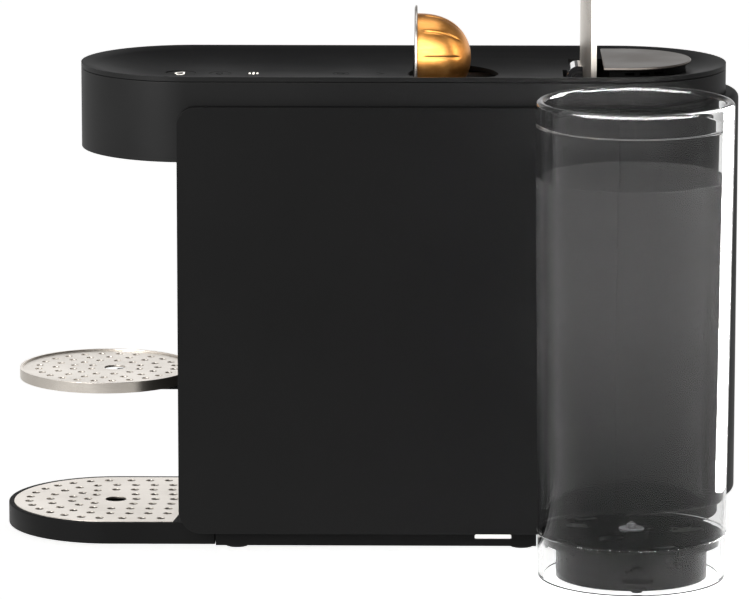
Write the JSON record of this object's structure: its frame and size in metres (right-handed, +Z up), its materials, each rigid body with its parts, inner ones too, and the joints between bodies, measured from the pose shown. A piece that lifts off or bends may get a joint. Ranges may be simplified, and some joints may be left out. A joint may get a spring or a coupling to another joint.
{
  "type": "pod coffee machine",
  "caption": "Slim pod coffee machine: round-ended black head over a flat body, upright steel lever, pod in its slot, magnetic cup support, drip tray and clear side tank.",
  "frame": {"origin": "on the ground under the centre of the round rear end, on the underside of the rear foot", "axes": "+X to the rear, -Y to the side where the tank stands, +Z up"},
  "size_m": [0.4012, 0.2418, 0.3637],
  "materials": {
    "black_satin": "satin black plastic",
    "black_cover": "matte black plastic",
    "dark_plastic": "plain dark plastic",
    "grey_plastic": "glass-filled plastic",
    "white_plastic": "gloss",
    "rubber_black": "matt",
    "seal_red": "silicone",
    "steel_brushed": "brushed",
    "steel_plain": "plain",
    "plate_satin": "satin",
    "axle_chrome": "polished",
    "aluminium_cast": "as cast",
    "brass_plain": "turned",
    "pod_copper": "lacquered foil, copper colour",
    "pod_lid": "foil",
    "tank_clear": "clear plastic",
    "board_green": "printed circuit board"
  },
  "bodies": {
    "machine": {"base_pan": "black_satin", "swivel_post": "grey_plastic", "foot_1": "rubber_black", "foot_2": "rubber_black", "foot_3": "rubber_black", "foot_4": "rubber_black", "foot_5": "rubber_black", "front_frame": "black_satin", "spine": "dark_plastic", "head_shell": "black_satin", "top_cover": "black_satin", "cover_near": "black_cover", "cover_far": "black_cover", "cover_rear": "black_cover", "rear_plate": "plate_satin", "plate_carrier": "dark_plastic", "lever_bracket": "dark_plastic", "lever_axle": "axle_chrome", "brew_chamber": "grey_plastic", "water_needle": "brass_plain", "outlet_duct": "dark_plastic", "coffee_nozzle": "grey_plastic", "pump": "steel_plain", "heater": "aluminium_cast", "flow_meter": "white_plastic", "control_board": "board_green", "hose_suction": "white_plastic", "hose_pressure": "white_plastic", "hose_brew": "white_plastic", "power_inlet": "dark_plastic", "magnet_rail": "steel_plain", "screws": "steel_plain", "indicator_lens": "white_plastic", "notch_insert": "white_plastic"},
    "lever": {"lever": "steel_brushed"},
    "pod": {"pod_shell": "pod_copper", "pod_foil": "pod_lid"},
    "piston": {"piston": "steel_plain", "piston_seal": "seal_red"},
    "gate": {"drop_gate": "steel_plain"},
    "bin": {"pod_bin": "dark_plastic", "bin_front": "black_satin"},
    "tray": {"tray": "black_satin", "tray_feet": "rubber_black"},
    "grid": {"grid": "steel_brushed"},
    "cup_support": {"cup_disc": "steel_brushed", "cup_bracket": "black_satin", "cup_magnets": "steel_plain"},
    "arm": {"tank_arm": "black_satin", "dock": "black_satin", "dock_foot": "rubber_black", "dock_spigot": "grey_plastic"},
    "latch": {"latch_button": "black_satin"},
    "tank": {"tank": "tank_clear", "tank_floor": "black_satin"},
    "valve": {"tank_valve": "grey_plastic"},
    "brew_key": {"brew_button": "dark_plastic"},
    "size_key": {"size_button": "dark_plastic"},
    "power_key": {"power_button": "dark_plastic"}
  },
  "joints": [
    {"name": "lever_hinge", "type": "hinge", "parent": "machine", "child": "lever", "pos_m": [-0.0206, 0, 0.2517], "axis": [0, -1, 0], "range_deg": [0, 90]},
    {"name": "pod_drop", "type": "slide", "parent": "machine", "child": "pod", "axis": [0, 0, -1], "range_m": [0, 0.0402]},
    {"name": "piston_press", "type": "slide", "parent": "machine", "child": "piston", "axis": [1, 0, 0], "range_m": [0, 0.0034]},
    {"name": "gate_slide", "type": "slide", "parent": "machine", "child": "gate", "axis": [1, 0, 0], "range_m": [0, 0.046]},
    {"name": "bin_slide", "type": "slide", "parent": "machine", "child": "bin", "axis": [-1, 0, 0], "range_m": [0, 0.12]},
    {"name": "tray_slide", "type": "slide", "parent": "machine", "child": "tray", "axis": [-1, 0, 0], "range_m": [0, 0.1]},
    {"name": "grid_lift", "type": "slide", "parent": "tray", "child": "grid", "axis": [0, 0, 1], "range_m": [0, 0.04]},
    {"name": "support_slide", "type": "slide", "parent": "machine", "child": "cup_support", "axis": [0, 0, 1], "range_m": [-0.05, 0]},
    {"name": "tank_swing", "type": "hinge", "parent": "machine", "child": "arm", "pos_m": [0, 0, 0], "axis": [0, 0, 1], "range_deg": [0, 174]},
    {"name": "latch_press", "type": "slide", "parent": "arm", "child": "latch", "axis": [-0.0523, 0.9986, 0], "range_m": [0, 0.0015], "stiffness_N_per_m": 400},
    {"name": "tank_lift", "type": "slide", "parent": "arm", "child": "tank", "axis": [0, 0, 1], "range_m": [0, 0.08]},
    {"name": "valve_lift", "type": "slide", "parent": "tank", "child": "valve", "axis": [0, 0, 1], "range_m": [-0.0012, 0]},
    {"name": "brew_press", "type": "slide", "parent": "machine", "child": "brew_key", "axis": [0, 0, -1], "range_m": [0, 0.001], "stiffness_N_per_m": 500},
    {"name": "size_press", "type": "slide", "parent": "machine", "child": "size_key", "axis": [0, 0, -1], "range_m": [0, 0.001], "stiffness_N_per_m": 500},
    {"name": "power_press", "type": "slide", "parent": "machine", "child": "power_key", "axis": [0, 0, -1], "range_m": [0, 0.001], "stiffness_N_per_m": 500}
  ],
  "couplings": [
    {"joint": "valve_lift", "follows": "tank_lift", "ratio": -0.015},
    {"joint": "pod_drop", "follows": "lever_hinge", "m_per_rad": 0.025592},
    {"joint": "piston_press", "follows": "lever_hinge", "m_per_rad": 0.0021645}
  ]
}
